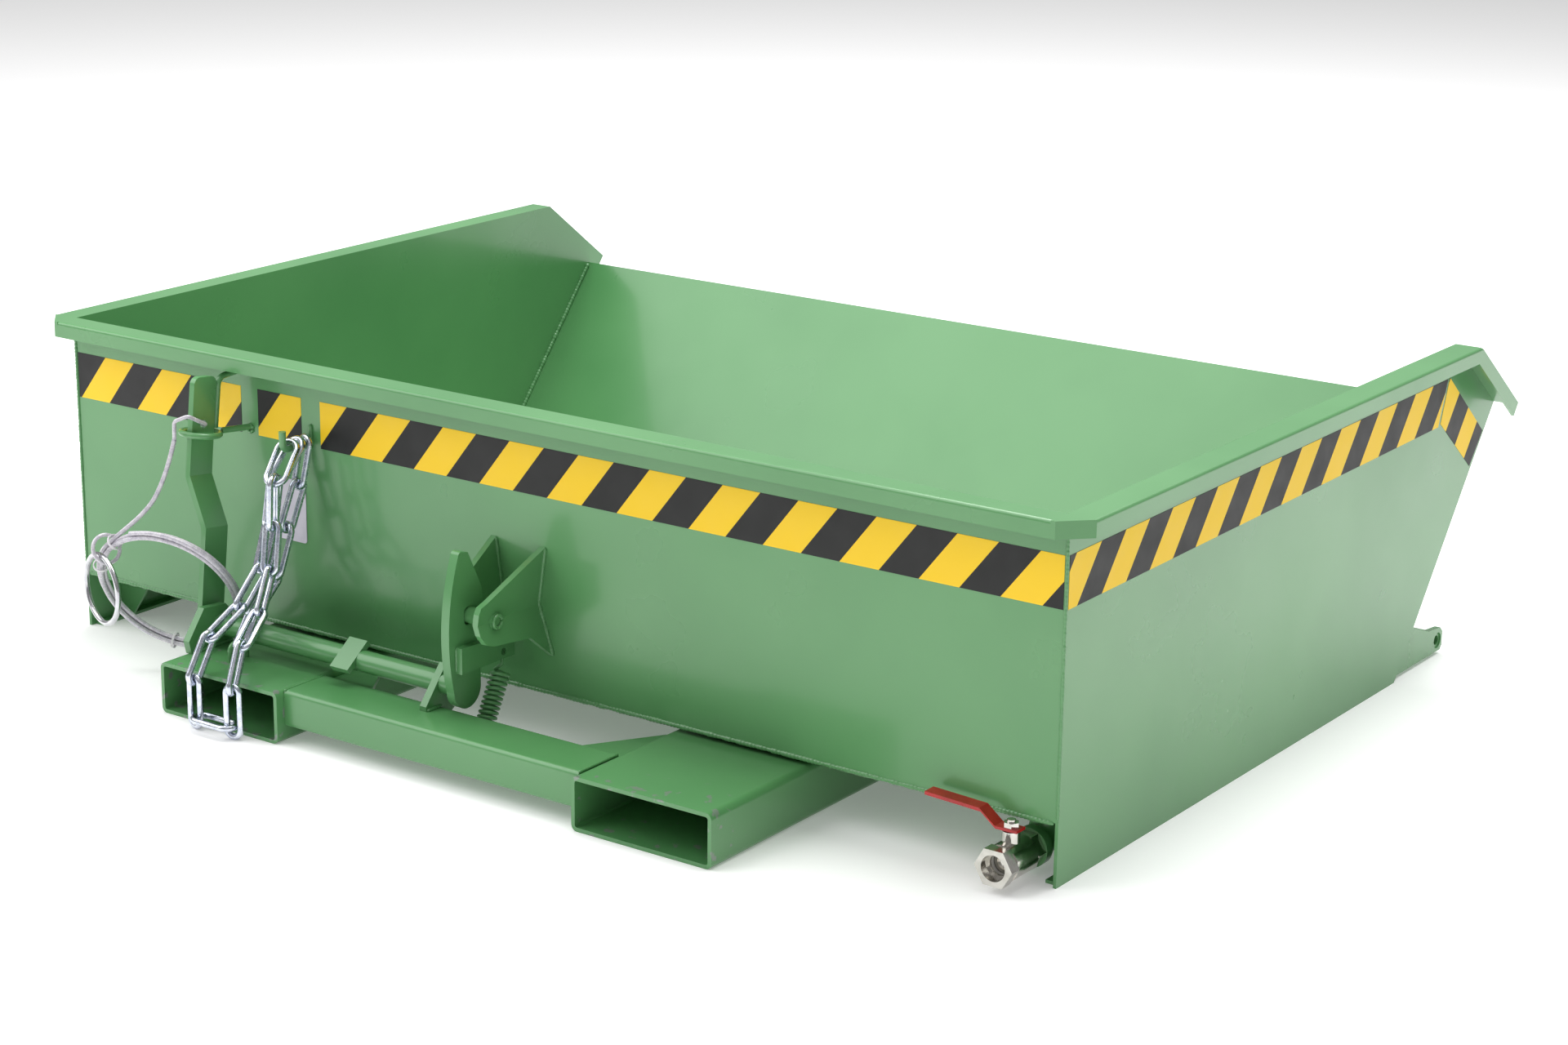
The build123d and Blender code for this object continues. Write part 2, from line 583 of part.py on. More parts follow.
with BuildPart() as valve_seats:
    for end in (1, -1):
        seat_y = STEM_Y + end * 19
        with BuildSketch(Plane.XZ.offset(-seat_y)):
            with Locations((DRAIN_X, DRAIN_Z)):
                Circle(BALL_D / 2 + 1)
                Circle(DRAIN_BORE / 2 + 0.5, mode=Mode.SUBTRACT)
        extrude(amount=end * 7)
    with Locations((DRAIN_X, STEM_Y, DRAIN_Z)):
        Sphere(BALL_D / 2 + GAP, mode=Mode.SUBTRACT)
save(valve_seats.part, "valve_seats")

with BuildPart() as valve_ball:
    with Locations((DRAIN_X, STEM_Y, DRAIN_Z)):
        Sphere(BALL_D / 2)
    add(rod_along_x(DRAIN_X - 30, DRAIN_X + 30, STEM_Y, DRAIN_Z, DRAIN_BORE), mode=Mode.SUBTRACT)
    with Locations((DRAIN_X, STEM_Y, DRAIN_Z + BALL_D / 2)):
        Box(4, 12, 6, mode=Mode.SUBTRACT)
save(valve_ball.part, "valve_ball")

with BuildPart() as valve_stem:
    with Locations((DRAIN_X, STEM_Y, DRAIN_Z + BALL_D / 2 - 3)):
        Box(4, 9, 8, align=(Align.CENTER, Align.CENTER, Align.MIN))
    with BuildSketch(Plane.XY.offset(DRAIN_Z + BALL_D / 2 + 1)):
        with Locations((DRAIN_X, STEM_Y)):
            Circle(STEM_D / 2)
    extrude(amount=27)
save(valve_stem.part, "valve_stem")

with BuildPart() as valve_lever:
    strap_z = DRAIN_Z + 34
    with BuildSketch(Plane.XZ.offset(-STEM_Y - 9)):
        Polygon(
            (DRAIN_X + 12, strap_z), (DRAIN_X + 12, strap_z + 3), (DRAIN_X - 16, strap_z + 3),
            (DRAIN_X - 36, strap_z + 19), (DRAIN_X - 106, strap_z + 22), (DRAIN_X - 106, strap_z + 18),
            (DRAIN_X - 34, strap_z + 15), (DRAIN_X - 15, strap_z),
            align=None,
        )
    extrude(amount=18)
    grip_end = valve_lever.edges().filter_by(Axis.Z).group_by(Axis.X)[0]
    with Locations((DRAIN_X, STEM_Y, strap_z)):
        Cylinder(STEM_D / 2, 20, mode=Mode.SUBTRACT)
save(valve_lever.part, "valve_lever")

with BuildPart() as valve_nut:
    with BuildSketch(Plane.XY.offset(strap_z + 3)):
        with Locations((DRAIN_X, STEM_Y)):
            RegularPolygon(9, 6)
            Circle(STEM_D / 2, mode=Mode.SUBTRACT)
    extrude(amount=6)
save(valve_nut.part, "valve_nut")

# ---------------------------------------------------------------- spring
SPRING_X, SPRING_WIRE, SPRING_R, SPRING_TURNS = 9.5, 4.5, 10.2, 11
spring_foot = Vector(SPRING_X, -79.0, 43.0)
spring_head = Vector(SPRING_X, -46.0, 106.0)
spring_axis = spring_head - spring_foot
with BuildPart() as latch_spring:
    with BuildLine(Plane(origin=tuple(spring_foot), x_dir=(1, 0, 0), z_dir=tuple(spring_axis))):
        coils = Helix(pitch=spring_axis.length / SPRING_TURNS, height=spring_axis.length, radius=SPRING_R)
    with BuildSketch(Plane(origin=coils @ 0, z_dir=coils % 0)):
        Circle(SPRING_WIRE / 2)
    sweep(is_frenet=True)
save(latch_spring.part, "latch_spring")

with BuildPart() as spring_anchor:
    with BuildSketch(Plane.XZ.offset(-BEAM_FRONT)):
        with Locations((SPRING_X, 32)):
            RectangleRounded(20, 22, 3)
    extrude(amount=-3)
    with BuildLine():
        eye_route = FilletPolyline(
            (SPRING_X, BEAM_FRONT + 3, 30), (SPRING_X, BEAM_FRONT + 14, 30), (SPRING_X, BEAM_FRONT + 14, 38),
            radius=5,
        )
    with BuildSketch(Plane.XZ.offset(-BEAM_FRONT - 3)):
        with Locations((SPRING_X, 30)):
            Circle(3)
    sweep()
save(spring_anchor.part, "spring_anchor")

# ---------------------------------------------------------------- safety chain
EYE_D, QUICK_D, QUICK_W, SNAP_W = 7.0, 6.0, 24.0, 32.0
END_W = 34.0                              # the link on the hook is wider, as it hangs askew
EYE_X, EYE_Y, EYE_Z = -352.0, -120.0, 88.0
SEAT = LINK_D + 0.5                       # an edge-on link reaches this far past its neighbour's bar
FOOT_X, FOOT_Z = -314.0, 15.5
UP = Vector(0, 0, 1)


def hang(foot, top, lengths, leans, elbow):
    """Bars of a strand in the upright plane from foot to top; its last two links close the gap."""
    onward = Vector(top.X - foot.X, top.Y - foot.Y, 0).normalized()
    bars = [foot]
    for length, lean_angle in zip(lengths, leans):
        step = onward * sin(radians(lean_angle)) + UP * cos(radians(lean_angle))
        bars.append(bars[-1] + step * length)
    gap = top - bars[-1]
    first, second = lengths[-2:]
    along = (first**2 - second**2 + gap.length**2) / (2 * gap.length)
    out = sqrt(max(first**2 - along**2, 0))
    sideways = gap.normalized().cross(onward.cross(UP))
    return bars + [bars[-1] + gap.normalized() * along + sideways * (out * elbow), top]


def link(low, high, square, width=LINK_W, wire=LINK_D, reach=0.0):
    """One welded link on two bars, lying square to the given direction and reaching past both."""
    overall = (high - low).length + 2 * reach
    link_plane = Plane(origin=tuple((low + high) / 2), x_dir=tuple(high - low), z_dir=tuple(square))
    path = link_plane.location * SlotOverall(overall, width - wire).faces()[0].outer_wire()
    section = Plane(origin=path @ 0, z_dir=path % 0) * Circle(wire / 2)
    return sweep(section, path=path)


def strand_links(bars):
    """Every link of a strand with its bars, its square direction and its reach, flat and edge-on in turn."""
    level = Vector(bars[-1].X - bars[0].X, bars[-1].Y - bars[0].Y, 0).normalized().cross(UP)
    for number, (low, high) in enumerate(zip(bars, bars[1:])):
        flat = number % 2 == 0
        yield number, low, high, level.cross(high - low).normalized() if flat else level, 0.0 if flat else SEAT


edge_length = LINK_LENGTH - 2 * SEAT      # from bar to bar of a link that stands edge-on
seven = (LINK_LENGTH, edge_length) * 3 + (LINK_LENGTH,)
bar_z = HOOK_Z + HOOK_D / 2 + LINK_D / 2 + 0.5
# each strand: lowest bar, bar on the hook, lengths, leans of all but the last two links, elbow side
STRANDS = {
    "left": (
        Vector(FOOT_X - LINK_LENGTH / 2, -CHAIN_REACH, LINK_D / 2), Vector(HOOK_X, -22, bar_z),
        seven, (0, 30, 60, 42, 18), -1,
    ),
    "right": (
        Vector(FOOT_X + LINK_LENGTH / 2, -CHAIN_REACH, LINK_D / 2), Vector(HOOK_X, -38, bar_z),
        seven, (0, 30, 60, 35, 12), -1,
    ),
}
for name, strand_plan in STRANDS.items():
    strand = [
        link(low, high, square, width=END_W if number == 6 else LINK_W, reach=reach)
        for number, low, high, square, reach in strand_links(hang(*strand_plan))
    ]
    save(Compound(strand), f"chain_strand_{name}")

# the tether: a quick link in the eye, a link, a snap hook and two more links
tether_foot = Vector(EYE_X, EYE_Y, EYE_Z - EYE_D / 2 - QUICK_D / 2 - 0.5)
tether_bars = hang(
    tether_foot, Vector(HOOK_X, -9.5, bar_z), (50, edge_length, 70, edge_length, LINK_LENGTH), (30, 42, 20), 1,
)
tether_strand = []
for number, low, high, square, reach in strand_links(tether_bars):
    if number == 0:
        quick_link = link(low, high, square, width=QUICK_W, wire=QUICK_D)
        sleeve_spot = (low + high) / 2 + (high - low).cross(square).normalized() * (QUICK_W - QUICK_D) / 2
        sleeve = Plane(origin=tuple(sleeve_spot), z_dir=tuple(high - low)) * Pos(0, 0, -11)
        quick_link += sleeve * extrude(RegularPolygon(6, 6), amount=22)
        save(quick_link, "quick_link")
    elif number == 2:
        save(link(low, high, square, width=SNAP_W), "snap_hook")
    else:
        tether_strand.append(link(low, high, square, reach=reach))
save(Compound(tether_strand), "chain_strand_tether")

foot_low, foot_high = (Vector(FOOT_X + way * LINK_LENGTH / 2, -CHAIN_REACH, FOOT_Z) for way in (-1, 1))
save(link(foot_low, foot_high, UP, width=FOOT_W), "chain_foot_link")

with BuildPart() as chain_eye:
    with BuildLine():
        eye_bow = FilletPolyline(
            (EYE_X, EYE_Y - 14, POCKET_H), (EYE_X, EYE_Y - 14, EYE_Z), (EYE_X, EYE_Y + 14, EYE_Z),
            (EYE_X, EYE_Y + 14, POCKET_H), radius=9,
        )
    with BuildSketch(Plane.XY.offset(POCKET_H)):
        with Locations((EYE_X, EYE_Y - 14)):
            Circle(EYE_D / 2)
    sweep()
save(chain_eye.part, "chain_eye")

# ---------------------------------------------------------------- pull rope
COIL_CENTRE = Vector(-490, -98, 124)
COIL_NORMAL = Vector(-0.276, 0.85, 0.449)
COIL_R, BUNDLE_R, ROPE_TURNS = 94.0, 9.0, 3
GRIP_R, GRIP_WIRE = 44.0, 7.0
coil_x = (Vector(1, 0, 0) - COIL_NORMAL * COIL_NORMAL.dot(Vector(1, 0, 0))).normalized()
coil_up = coil_x.cross(COIL_NORMAL).normalized()


def on_coil(angle, outward=0.0):
    """The point of the coil's middle line at this angle from +X, moved outward in the coil's plane."""
    radial = coil_x * cos(radians(angle)) + coil_up * sin(radians(angle))
    return COIL_CENTRE + radial * (COIL_R + outward)


coil_plane = Plane(origin=tuple(COIL_CENTRE), x_dir=tuple(coil_x), z_dir=tuple(COIL_NORMAL))
rope_coil = coil_plane * Torus(COIL_R, BUNDLE_R)
save(rope_coil, "rope_coil")

hole_y = SHAFT_Y + rope_hole * sin(radians(LEVER_LEAN))
hole_z = SHAFT_Z + rope_hole * cos(radians(LEVER_LEAN))
loop_end = (lever_high_x - 9, hole_y - 38, hole_z - 14)
with BuildPart() as rope_hook:
    with BuildLine():
        loop_route = FilletPolyline(
            (lever_high_x - 3, hole_y, hole_z), (lever_high_x + 11, hole_y, hole_z),
            (lever_high_x + 8, hole_y - 30, hole_z + 17), (lever_high_x - 9, hole_y - 37, hole_z + 9), loop_end,
            radius=5.5,
        )
    with BuildSketch(Plane(origin=loop_route @ 0, z_dir=loop_route % 0)):
        Circle(2.5)
    sweep()
save(rope_hook.part, "rope_hook")

tie_angle = 111.0
rope_end = on_coil(tie_angle, outward=BUNDLE_R + ROPE_D / 2 + 0.4)
rope_points = [(loop_end[0], loop_end[1] - 1, loop_end[2] - 3), (lever_high_x - 20, hole_y - 48, hole_z - 62), tuple(rope_end)]
rope_radii = cord_radii(rope_points, longest=200.0)
with BuildPart() as pull_rope:
    with BuildLine():
        rope_route = FilletPolyline(*rope_points, radius=rope_radii[0])
    with BuildSketch(Plane(origin=rope_route @ 0, z_dir=rope_route % 0)):
        Circle(ROPE_D / 2)
    sweep()
save(pull_rope.part, "pull_rope")
rope_length = rope_route.length + ROPE_TURNS * 2 * pi * COIL_R
print("rope bend radii", [round(value, 1) for value in rope_radii], "length", round(rope_length))

tie_rings = []
for angle in (tie_angle + 8, tie_angle + 42, 250.0):
    tie_spot = on_coil(angle)
    tie_way = on_coil(angle + 0.5) - on_coil(angle - 0.5)
    tie = Plane(origin=tuple(tie_spot), z_dir=tuple(tie_way)) * Pos(0, 0, -1.5)
    tie_rings.append(tie * extrude(Circle(BUNDLE_R + 1.4) - Circle(BUNDLE_R + 0.2), amount=3))
save(Compound(tie_rings), "rope_ties")

grip_way = Vector(0.956, -0.292, 0)
grip_spot = on_coil(127.5)
grip_centre = grip_spot + Vector(0, -15, -8) - Vector(0, 0, GRIP_R)
grip_plane = Plane(origin=tuple(grip_centre), x_dir=tuple(grip_way), z_dir=tuple(Vector(0, 0, 1).cross(grip_way)))
save(grip_plane * Torus(GRIP_R, GRIP_WIRE / 2), "pull_ring")
loop_plane = Plane(origin=tuple(grip_spot + Vector(0, -5, -2)), z_dir=(0.85, -0.26, 0.35))
save(loop_plane * Torus(18, 2.5), "grip_loop")
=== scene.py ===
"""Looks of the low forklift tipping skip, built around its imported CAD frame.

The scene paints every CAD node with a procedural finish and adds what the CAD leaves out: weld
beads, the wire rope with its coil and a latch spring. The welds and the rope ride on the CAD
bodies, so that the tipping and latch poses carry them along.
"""

import json
import logging
import math
from dataclasses import dataclass
from enum import Enum
from typing import Callable, Iterable, Sequence

import bmesh
import bpy
from mathutils import Matrix, Vector, noise

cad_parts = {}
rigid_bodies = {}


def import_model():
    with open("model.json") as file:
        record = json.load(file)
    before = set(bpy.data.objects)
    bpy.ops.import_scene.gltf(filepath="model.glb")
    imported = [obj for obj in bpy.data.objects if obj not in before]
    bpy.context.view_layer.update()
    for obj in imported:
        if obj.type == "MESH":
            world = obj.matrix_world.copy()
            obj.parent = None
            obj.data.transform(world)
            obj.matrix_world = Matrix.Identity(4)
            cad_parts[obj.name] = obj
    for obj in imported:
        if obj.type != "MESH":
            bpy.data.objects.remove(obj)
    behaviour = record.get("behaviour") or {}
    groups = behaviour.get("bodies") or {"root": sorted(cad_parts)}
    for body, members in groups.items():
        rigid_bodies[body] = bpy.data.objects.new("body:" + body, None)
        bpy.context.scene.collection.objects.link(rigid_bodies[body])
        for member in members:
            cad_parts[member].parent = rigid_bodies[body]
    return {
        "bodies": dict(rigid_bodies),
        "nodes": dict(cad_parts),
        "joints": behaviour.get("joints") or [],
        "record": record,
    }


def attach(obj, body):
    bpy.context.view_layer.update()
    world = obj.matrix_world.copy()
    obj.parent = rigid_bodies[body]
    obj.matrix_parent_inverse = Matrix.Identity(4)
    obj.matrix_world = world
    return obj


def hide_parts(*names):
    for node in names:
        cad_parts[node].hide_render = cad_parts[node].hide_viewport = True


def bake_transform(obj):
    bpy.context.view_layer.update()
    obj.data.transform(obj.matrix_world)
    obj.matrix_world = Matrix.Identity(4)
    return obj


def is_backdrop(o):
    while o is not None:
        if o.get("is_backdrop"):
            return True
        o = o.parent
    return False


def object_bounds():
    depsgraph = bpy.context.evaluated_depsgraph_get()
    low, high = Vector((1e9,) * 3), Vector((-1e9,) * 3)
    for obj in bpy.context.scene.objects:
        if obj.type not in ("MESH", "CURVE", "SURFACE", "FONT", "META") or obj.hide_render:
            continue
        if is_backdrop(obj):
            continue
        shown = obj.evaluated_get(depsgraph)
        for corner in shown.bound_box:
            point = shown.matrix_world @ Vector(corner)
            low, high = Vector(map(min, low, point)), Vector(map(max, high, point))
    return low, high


MM = 0.001
MIDDLE_Y = 444.0 * MM
LOG = logging.getLogger("tipping_skip")


def row(x: float, y: float, z: float) -> Vector:
    """Turn millimetres measured from the rear wall's outer face into the row frame.

    Args:
        x: distance to the right of the centre plane, in mm.
        y: distance ahead of the rear wall, in mm.
        z: height above the ground, in mm.

    Returns:
        The point in metres in the row frame.
    """
    return Vector((x * MM, y * MM - MIDDLE_Y, z * MM))


def linear(code: str) -> tuple[float, float, float, float]:
    """Convert an sRGB hex code to a linear colour.

    Args:
        code: six hex digits, with or without a leading hash.

    Returns:
        Linear red, green, blue and an alpha of 1.
    """
    digits = code.lstrip("#")
    shares = [int(digits[start : start + 2], 16) / 255 for start in (0, 2, 4)]
    red, green, blue = (
        share / 12.92 if share <= 0.04045 else ((share + 0.055) / 1.055) ** 2.4 for share in shares
    )
    return red, green, blue, 1.0


def path_length(points: Sequence[Vector]) -> float:
    """Add up the straight steps between points.

    Args:
        points: the path's points, in metres.

    Returns:
        The length in metres.
    """
    return sum((after - before).length for before, after in zip(points, points[1:]))


class Body(Enum):
    """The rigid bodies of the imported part."""

    BASE = "base"
    TUB = "tub"
    LATCH = "latch"
    VALVE = "valve_handle"


class Slot(Enum):
    """The record's material slots."""

    PAINT = "green_paint"
    ZINC = "zinc"
    TAPE = "hazard_tape"
    PLATE = "plate"
    NICKEL = "nickel"
    SEAL = "seal"
    RED = "red_grip"
    ROPE = "rope_sheath"
    TIE = "tie"
    STEEL = "steel"


@dataclass(frozen=True)
class Finish:
    """A plain procedural finish.

    Attributes:
        colour: main sRGB hex code.
        second: hex code that a soft noise mixes in.
        roughness: lowest and highest roughness.
        metallic: metallic share.
        coat: clear coat weight.
        grain: size of the noise pattern, in mm.
        relief: height of the fine bump, in mm.
    """

    colour: str
    second: str
    roughness: tuple[float, float] = (0.3, 0.4)
    metallic: float = 0.0
    coat: float = 0.0
    grain: float = 60.0
    relief: float = 0.0


@dataclass(frozen=True)
class Stripes:
    """The slanted bars of a warning tape.

    Attributes:
        along: axis number that the tape runs along.
        pitch: distance from one yellow bar to the next, in mm.
        lean: sideways travel of a bar for each unit of height.
        phase: shift of the pattern, in mm.
        cut: place along the axis where another strip of tape begins, in mm.
        skip: further shift of the pattern below the cut, in mm.
    """

    along: int
    pitch: float
    lean: float
    phase: float
    cut: float = 0.0
    skip: float = 0.0


FINISHES: dict[Slot, Finish] = {
    Slot.PAINT: Finish("#508A54", "#5C965E", (0.26, 0.36), 0.0, 0.35, 420.0, 0.03),
    Slot.ZINC: Finish("#D9DDE6", "#B9C0CF", (0.16, 0.3), 1.0, 0.0, 9.0, 0.02),
    Slot.TAPE: Finish("#F7CB15", "#F2C20E", (0.5, 0.58), 0.0, 0.0, 90.0, 0.0),
    Slot.PLATE: Finish("#CDC7D6", "#D8D2E0", (0.35, 0.45), 0.35, 0.0, 20.0, 0.0),
    Slot.NICKEL: Finish("#D8D5CF", "#C2BFB8", (0.1, 0.22), 1.0, 0.0, 14.0, 0.0),
    Slot.SEAL: Finish("#E9E8E4", "#DDDCD8", (0.5, 0.6)),
    Slot.RED: Finish("#C4161B", "#A80F14", (0.3, 0.4), 0.0, 0.3, 30.0, 0.0),
    Slot.ROPE: Finish("#CFCBD2", "#B5B1BC", (0.22, 0.34), 0.1, 0.5, 6.0, 0.05),
    Slot.TIE: Finish("#DCD9DD", "#CFCBD2", (0.4, 0.5)),
    Slot.STEEL: Finish("#C9C9CC", "#B4B4B9", (0.14, 0.26), 1.0, 0.0, 12.0, 0.0),
}
REAR_STRIPES = Stripes(0, 104.0, 0.8, -312.0, -335.0, 45.0)
SIDE_STRIPES = Stripes(1, 104.0, 0.8, 0.0)
TAPE_BLACK = "#0A0A0A"
BARE_STEEL = "#7F8C80"
POCKET_MOUTH_Y = -184.0     # rear end of the fork pockets, in mm
RING_SHARE = 0.995          # a round bead stops just short of its start


class MaterialMaker:
    """Builds a node material step by step."""

    def __init__(self, name: str) -> None:
        """Start a material.

        Args:
            name: name of the new material.
        """
        self.material = bpy.data.materials.new(name)
        self.material.use_nodes = True
        self.tree = self.material.node_tree
        self.tree.nodes.clear()
        self.out = self.node("ShaderNodeOutputMaterial")
        self.shader = self.node("ShaderNodeBsdfPrincipled")
        self.tree.links.new(self.shader.outputs["BSDF"], self.out.inputs["Surface"])
        self.place = self.node("ShaderNodeTexCoord").outputs["Object"]

    def node(self, kind: str, settings: dict | None = None, **sockets: object) -> bpy.types.Node:
        """Add a node, with constants and links for its sockets.

        Args:
            kind: the node's type name.
            settings: attributes of the node.
            **sockets: socket name, underscores for spaces, to a constant or an output socket.

        Returns:
            The new node.
        """
        made = self.tree.nodes.new(kind)
        for name, value in (settings or {}).items():
            setattr(made, name, value)
        for name, value in sockets.items():
            numbered = name.startswith("i") and name[1:].isdigit()
            socket = made.inputs[int(name[1:]) if numbered else name.replace("_", " ")]
            if isinstance(value, bpy.types.NodeSocket):
                self.tree.links.new(value, socket)
            else:
                socket.default_value = value
        return made

    def noise(self, grain: float, detail: float = 4.0) -> bpy.types.NodeSocket:
        """Add a noise pattern.

        Args:
            grain: size of the pattern, in mm.
            detail: octaves.

        Returns:
            The pattern's value from 0 to 1.
        """
        scale = 1 / (grain * MM)
        return self.node("ShaderNodeTexNoise", Vector=self.place, Scale=scale, Detail=detail).outputs[0]

    def math(
        self, operation: str, first: object, second: object = 0.0, third: object = 0.0,
    ) -> bpy.types.NodeSocket:
        """Add a math node.

        Args:
            operation: Blender's name of the operation.
            first: first operand, a number or a socket.
            second: second operand.
            third: third operand.

        Returns:
            The result's socket.
        """
        return self.node("ShaderNodeMath", {"operation": operation}, i0=first, i1=second, i2=third).outputs[0]

    def band(
        self, value: object, low: float, high: float, start: float = 0.0, stop: float = 1.0,
    ) -> bpy.types.NodeSocket:
        """Map a value smoothly from one range to another.

        Args:
            value: the value, a number or a socket.
            low: value that gives start.
            high: value that gives stop.
            start: result at low.
            stop: result at high.

        Returns:
            The result's socket.
        """
        made = self.node("ShaderNodeMapRange", {"clamp": True}, Value=value)
        for name, number in (("From Min", low), ("From Max", high), ("To Min", start), ("To Max", stop)):
            made.inputs[name].default_value = number
        return made.outputs[0]

    def mix(self, share: object, first: object, second: object) -> bpy.types.NodeSocket:
        """Mix two colours.

        Args:
            share: share of the second colour.
            first: first colour, a tuple or a socket.
            second: second colour.

        Returns:
            The mixed colour's socket.
        """
        made = self.node("ShaderNodeMix", {"data_type": "RGBA"}, i0=share, i6=first, i7=second)
        return made.outputs[2]

    def use(self, **sockets: object) -> None:
        """Set or link sockets of the main shader.

        Args:
            **sockets: socket name, underscores for spaces, to a constant or an output socket.
        """
        for name, value in sockets.items():
            socket = self.shader.inputs[name.replace("_", " ")]
            if isinstance(value, bpy.types.NodeSocket):
                self.tree.links.new(value, socket)
            else:
                socket.default_value = value

    def coordinate(self, axis: int) -> bpy.types.NodeSocket:
        """Give one coordinate of the shaded point.

        Args:
            axis: 0, 1 or 2 for X, Y or Z.

        Returns:
            The coordinate's socket, in metres.
        """
        return self.node("ShaderNodeSeparateXYZ", Vector=self.place).outputs[axis]


class Workshop:
    """Makes and keeps the finishes."""

    def __init__(self) -> None:
        """Start with no finish made."""
        self.made: dict[str, bpy.types.Material] = {}

    def plain(self, slot: Slot) -> bpy.types.Material:
        """Make or reuse the finish of a slot.

        Args:
            slot: the record's slot.

        Returns:
            The material.
        """
        if slot.value not in self.made:
            self.made[slot.value] = self._base(slot.value, FINISHES[slot]).material
        return self.made[slot.value]

    def _base(self, name: str, finish: Finish) -> MaterialMaker:
        """Build the part that all finishes share.

        Args:
            name: material name.
            finish: the finish's numbers.

        Returns:
            The maker, for further steps.
        """
        maker = MaterialMaker(name)
        cloud = maker.noise(finish.grain)
        colour = maker.mix(maker.band(cloud, 0.35, 0.65), linear(finish.colour), linear(finish.second))
        rough = maker.band(maker.noise(finish.grain / 3), 0.3, 0.7, *finish.roughness)
        maker.use(Base_Color=colour, Roughness=rough, Metallic=finish.metallic)
        maker.use(Coat_Weight=finish.coat, Coat_Roughness=0.12)
        if finish.relief:
            bump = maker.node(
                "ShaderNodeBump", Height=maker.noise(5.0, 2.0), Strength=0.25, Distance=finish.relief * MM,
            )
            maker.use(Normal=bump.outputs[0])
        return maker

    def worn(self, name: str, edge_y: float, depth: float) -> bpy.types.Material:
        """Paint that is scratched to bare steel near a pocket mouth.

        Args:
            name: material name.
            edge_y: Y of the worn edge, in metres in the row frame.
            depth: how far the wear reaches, in metres.

        Returns:
            The material.
        """
        if name in self.made:
            return self.made[name]
        finish = FINISHES[Slot.PAINT]
        maker = self._base(name, finish)
        near = maker.band(maker.coordinate(1), edge_y, edge_y + depth, 0.14, -0.12)
        flakes = maker.math("ADD", maker.noise(16.0, 8.0), near)
        bare = maker.band(flakes, 0.72, 0.76)
        cloud = maker.band(maker.noise(finish.grain), 0.35, 0.65)
        paint = maker.mix(cloud, linear(finish.colour), linear(finish.second))
        maker.use(Base_Color=maker.mix(bare, paint, linear(BARE_STEEL)))
        maker.use(Metallic=maker.math("MULTIPLY", bare, 0.3))
        self.made[name] = maker.material
        return maker.material

    def tape(self, name: str, stripes: Stripes) -> bpy.types.Material:
        """Yellow film with black bars.

        Args:
            name: material name.
            stripes: the bars' layout.

        Returns:
            The material.
        """
        if name in self.made:
            return self.made[name]
        maker = self._base(name, FINISHES[Slot.TAPE])
        height = maker.math("MULTIPLY", maker.coordinate(2), stripes.lean)
        travel = maker.math("SUBTRACT", maker.coordinate(stripes.along), height)
        if stripes.cut:
            beyond = maker.math("LESS_THAN", maker.coordinate(stripes.along), stripes.cut * MM)
            travel = maker.math("SUBTRACT", travel, maker.math("MULTIPLY", beyond, stripes.skip * MM))
        turns = maker.math("DIVIDE", maker.math("SUBTRACT", travel, stripes.phase * MM), stripes.pitch * MM)
        black = maker.math("GREATER_THAN", maker.math("FRACT", turns), 0.5)
        maker.use(Base_Color=maker.mix(black, linear(FINISHES[Slot.TAPE].colour), linear(TAPE_BLACK)))
        self.made[name] = maker.material
        return maker.material


